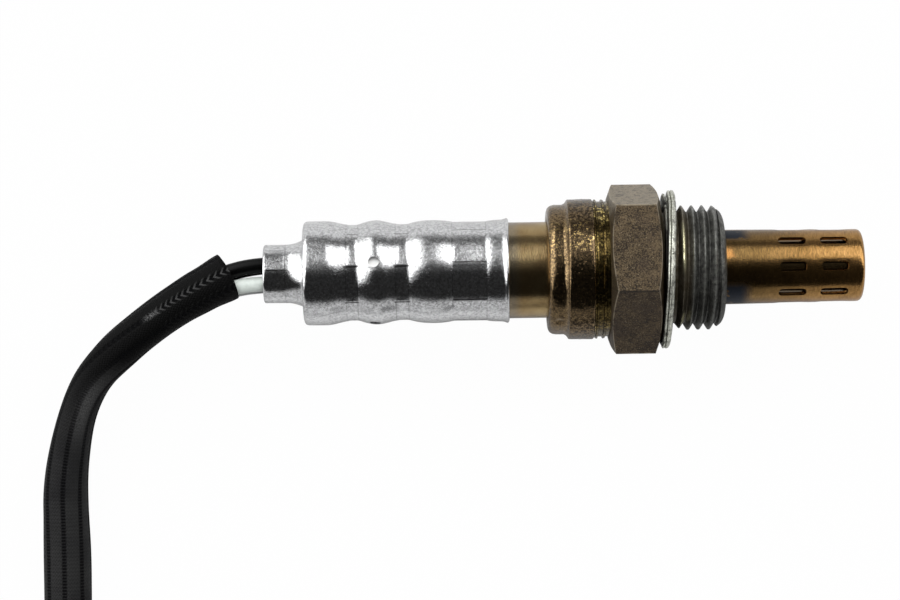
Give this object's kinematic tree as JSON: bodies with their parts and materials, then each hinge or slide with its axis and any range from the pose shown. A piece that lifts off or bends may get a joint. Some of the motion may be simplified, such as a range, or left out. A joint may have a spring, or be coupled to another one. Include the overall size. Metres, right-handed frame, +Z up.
{
  "type": "oxygen sensor",
  "caption": "Threaded exhaust oxygen sensor with slotted tip tube, hexagon, crush gasket, crimped rear shell and a sleeved lead ending in a sealed connector.",
  "frame": {"origin": "on the sensor's axis, in the plane of the hexagon's front face, which clamps the gasket", "axes": "+X along the axis towards the sensing tip, +Z up as the sensor lies on a surface, +Y across it away from the lead"},
  "size_m": [0.1213, 0.1532, 0.0246],
  "materials": {
    "housing_steel": "turned steel, heat tinted brown, dull",
    "gasket_steel": "crushed sheet, bright on the ridges",
    "tube_steel": "heat tinted golden brown, satin",
    "inner_tube_steel": "satin, lightly tinted",
    "element_ceramic": "sintered ceramic with a thin platinum film",
    "heater_ceramic": "sintered ceramic",
    "white_ceramic": "sintered ceramic",
    "talc": "pressed powder",
    "shell_steel": "drawn stainless sheet, satin with fine scratches",
    "tinted_steel": "drawn stainless sheet, heat tinted golden",
    "grommet_rubber": "moulded fluoro rubber",
    "vent_film": "white porous film",
    "contact_metal": "plated spring metal",
    "wire_black": "smooth wire insulation",
    "wire_white": "smooth wire insulation",
    "wire_grey": "smooth wire insulation",
    "knit_sleeve": "knitted glass yarn, coated black",
    "tie_nylon": "moulded nylon",
    "connector_plastic": "moulded glass filled plastic",
    "lock_plastic": "moulded plastic",
    "seal_silicone": "moulded silicone"
  },
  "bodies": {
    "root": {"housing": "housing_steel", "gasket": "gasket_steel", "outer_protection_tube": "tube_steel", "inner_protection_tube": "inner_tube_steel", "sensing_thimble": "element_ceramic", "heater_rod": "heater_ceramic", "lower_insulator": "white_ceramic", "talc_seal": "talc", "upper_insulator": "white_ceramic", "seal_ring": "shell_steel", "inner_sleeve": "tinted_steel", "rear_shell": "shell_steel", "grommet": "grommet_rubber", "vent_membrane": "vent_film", "disc_spring": "shell_steel", "contact_holder": "white_ceramic", "contact_terminals": "contact_metal", "wire_black_front": "wire_black", "wire_white": "wire_white", "wire_black_rear": "wire_black", "wire_grey": "wire_grey", "harness_sleeve": "knit_sleeve", "harness_coil": "knit_sleeve", "harness_tail": "knit_sleeve", "cable_tie": "tie_nylon", "connector_housing": "connector_plastic", "connector_pins": "contact_metal", "connector_lock": "lock_plastic", "connector_wire_seal": "seal_silicone", "connector_rear_cap": "connector_plastic"}
  },
  "joints": []
}
